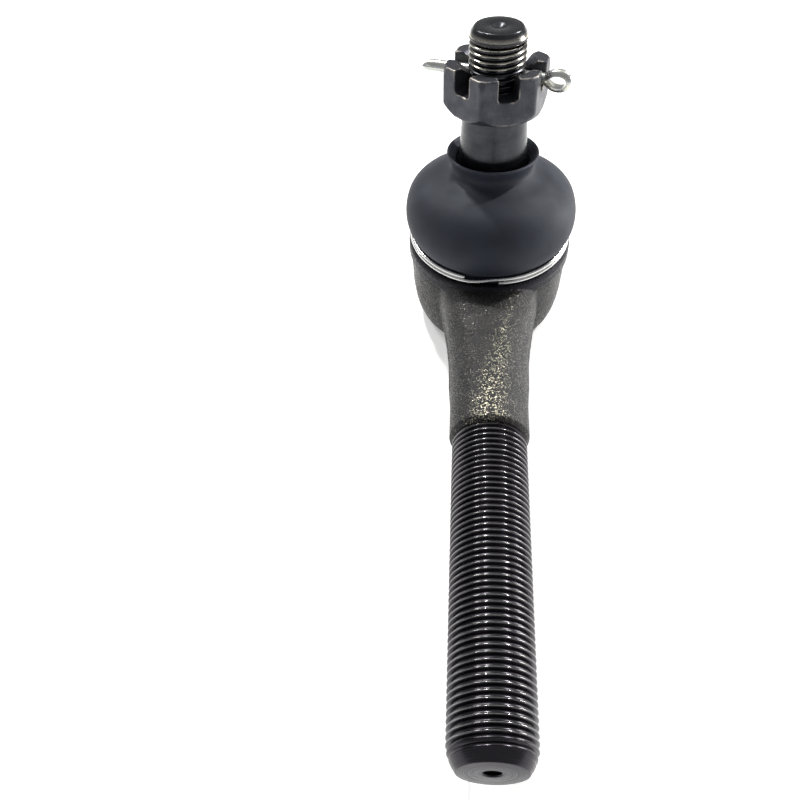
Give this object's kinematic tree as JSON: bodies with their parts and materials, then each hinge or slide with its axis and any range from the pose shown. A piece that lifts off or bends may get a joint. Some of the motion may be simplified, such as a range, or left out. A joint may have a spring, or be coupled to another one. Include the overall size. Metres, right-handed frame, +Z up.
{
  "type": "outer tie rod end",
  "caption": "Forged steering rod end with a threaded shank and a tapered ball stud under a rubber boot, held by a slotted nut and a pin.",
  "frame": {"origin": "centre of the cover plate's flat outer face, on the housing's axis", "axes": "+Z up the housing's axis towards the stud, -Y along the threaded shank, +X to the right when seen from the shank's end"},
  "size_m": [0.0458, 0.1747, 0.0836],
  "materials": {
    "forged_steel": "black phosphate over a grainy forged skin, faint warm specks",
    "black_steel": "black oxide, satin machined",
    "boot_rubber": "matte black rubber with a faint bluish sheen",
    "bright_wire": "bright drawn steel",
    "zinc_plate": "clear zinc plate",
    "sintered_bearing": "sintered, oiled"
  },
  "bodies": {
    "housing": {"housing": "forged_steel", "upper_bearing": "sintered_bearing", "preload_spring": "bright_wire", "cover_plate": "black_steel", "boot_clamp_ring": "bright_wire", "grease_fitting_body": "zinc_plate", "grease_fitting_spring": "bright_wire"},
    "lower_bearing": {"lower_bearing": "sintered_bearing"},
    "boot": {"dust_boot": "boot_rubber"},
    "boot_lip": {"boot_lip_ring": "black_steel"},
    "stud": {"ball_stud": "black_steel", "castle_nut": "black_steel"},
    "cotter_pin": {"cotter_pin": "zinc_plate"},
    "grease_fitting_ball": {"grease_fitting_ball": "bright_wire"}
  },
  "joints": [
    {"name": "seat_give", "type": "slide", "parent": "housing", "child": "lower_bearing", "axis": [0, 0, 1], "range_m": [-0.0006, 0], "stiffness_N_per_m": 5000, "springref_m": 0.003, "deforming": ["preload_spring"]},
    {"name": "boot_turn", "type": "hinge", "parent": "housing", "child": "boot", "pos_m": [0, 0, 0.018], "axis": [0, 0, 1], "continuous": true},
    {"name": "stud_lean", "type": "hinge", "parent": "boot", "child": "boot_lip", "pos_m": [0, 0, 0.018], "axis": [1, 0, 0], "range_deg": [-14.6, 29.4], "deforming": ["dust_boot"]},
    {"name": "stud_spin", "type": "hinge", "parent": "boot_lip", "child": "stud", "pos_m": [0, 0, 0.018], "axis": [0, 0.1288, 0.9917], "continuous": true},
    {"name": "pin_pull", "type": "slide", "parent": "stud", "child": "cotter_pin", "axis": [0.9563, -0.2899, 0.0377], "range_m": [0, 0.034]},
    {"name": "ball_press", "type": "slide", "parent": "housing", "child": "grease_fitting_ball", "axis": [0, -1, 0], "range_m": [0, 0.0008], "stiffness_N_per_m": 400, "springref_m": -0.002, "deforming": ["grease_fitting_spring"]}
  ]
}
